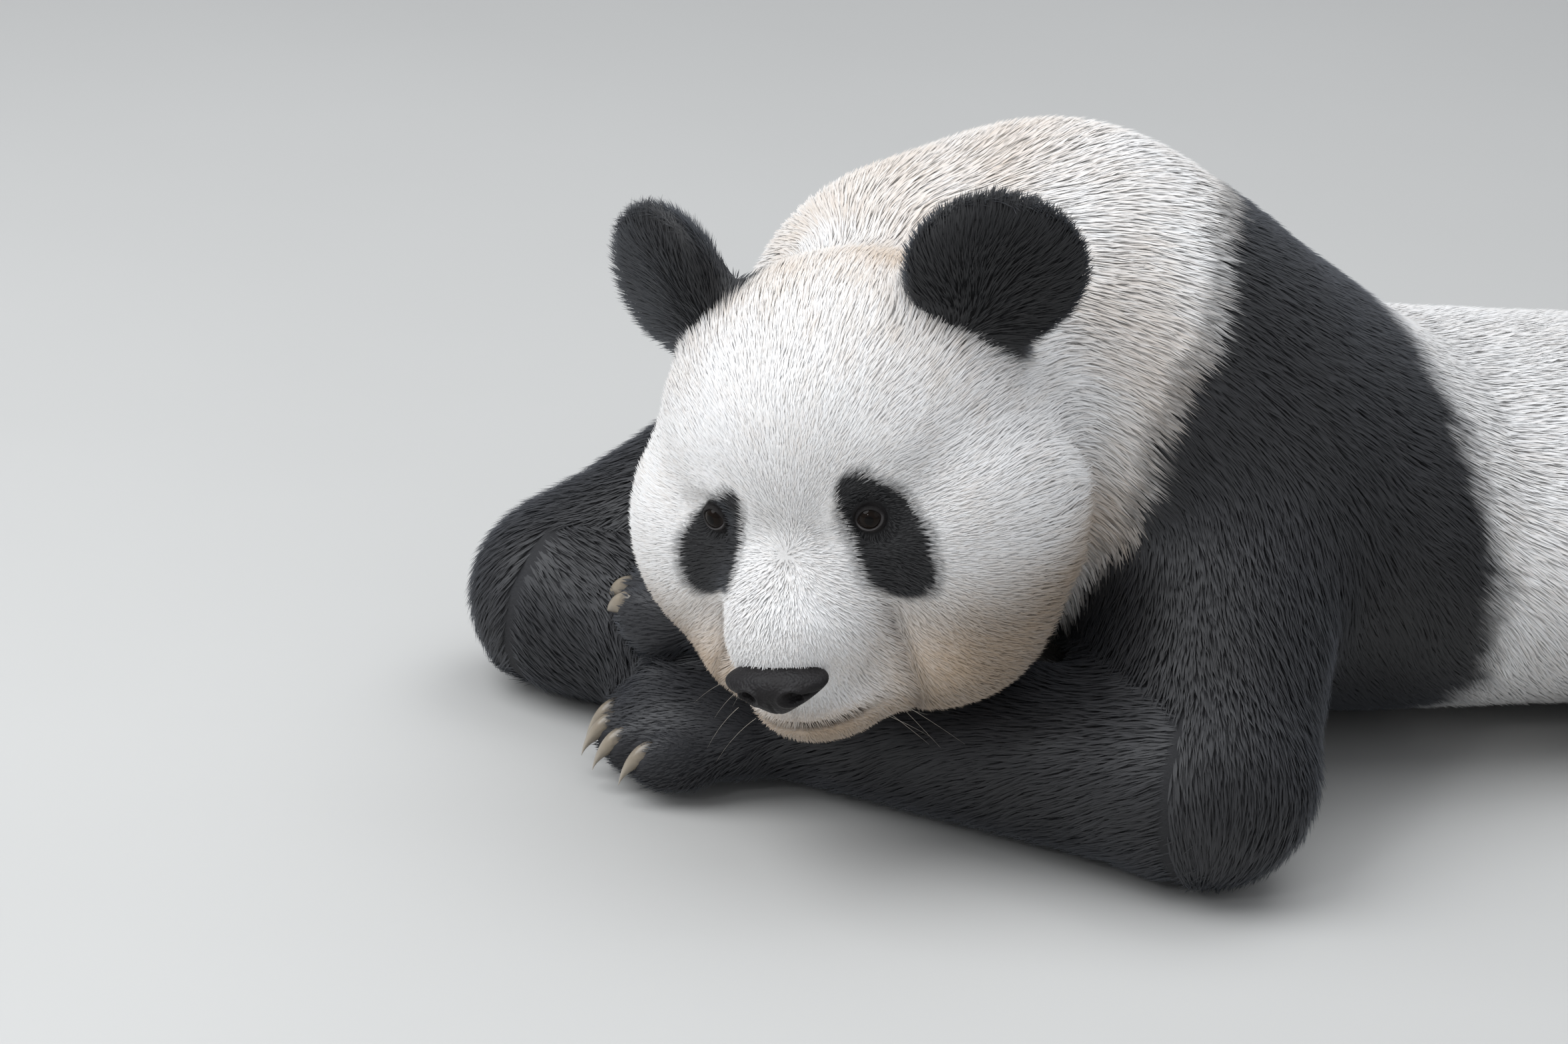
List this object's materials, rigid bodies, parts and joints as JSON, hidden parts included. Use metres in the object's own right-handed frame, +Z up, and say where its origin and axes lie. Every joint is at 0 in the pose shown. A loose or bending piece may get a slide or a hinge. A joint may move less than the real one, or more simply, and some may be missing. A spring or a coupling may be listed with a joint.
{
  "type": "giant panda model",
  "caption": "Life-size giant panda lying on its belly, head turned to its left and resting on crossed forepaws, as a still museum model.",
  "frame": {"origin": "on the floor, under the middle of the animal's bounding box", "axes": "+Z up, -Y the way the body faces, +X its left side"},
  "size_m": [0.8014, 1.2124, 0.4498],
  "materials": {
    "coat_white": "soft matte fur",
    "coat_black": "soft matte fur with a slight sheen",
    "nose_skin": "damp bare skin",
    "eye_surface": "wet gloss"
  },
  "bodies": {
    "root": {"head": "coat_white", "nose": "nose_skin", "eye_left": "eye_surface", "eye_right": "eye_surface", "ear_left": "coat_black", "ear_right": "coat_black", "neck": "coat_white", "shoulders": "coat_black", "trunk": "coat_white", "tail": "coat_white", "foreleg_upper_left": "coat_black", "foreleg_upper_right": "coat_black", "foreleg_lower_left": "coat_black", "foreleg_lower_right": "coat_black", "forepaw_left": "coat_black", "forepaw_right": "coat_black", "hindleg_upper_left": "coat_black", "hindleg_upper_right": "coat_black", "hindleg_lower_left": "coat_black", "hindleg_lower_right": "coat_black", "hindpaw_left": "coat_black", "hindpaw_right": "coat_black"}
  },
  "joints": []
}
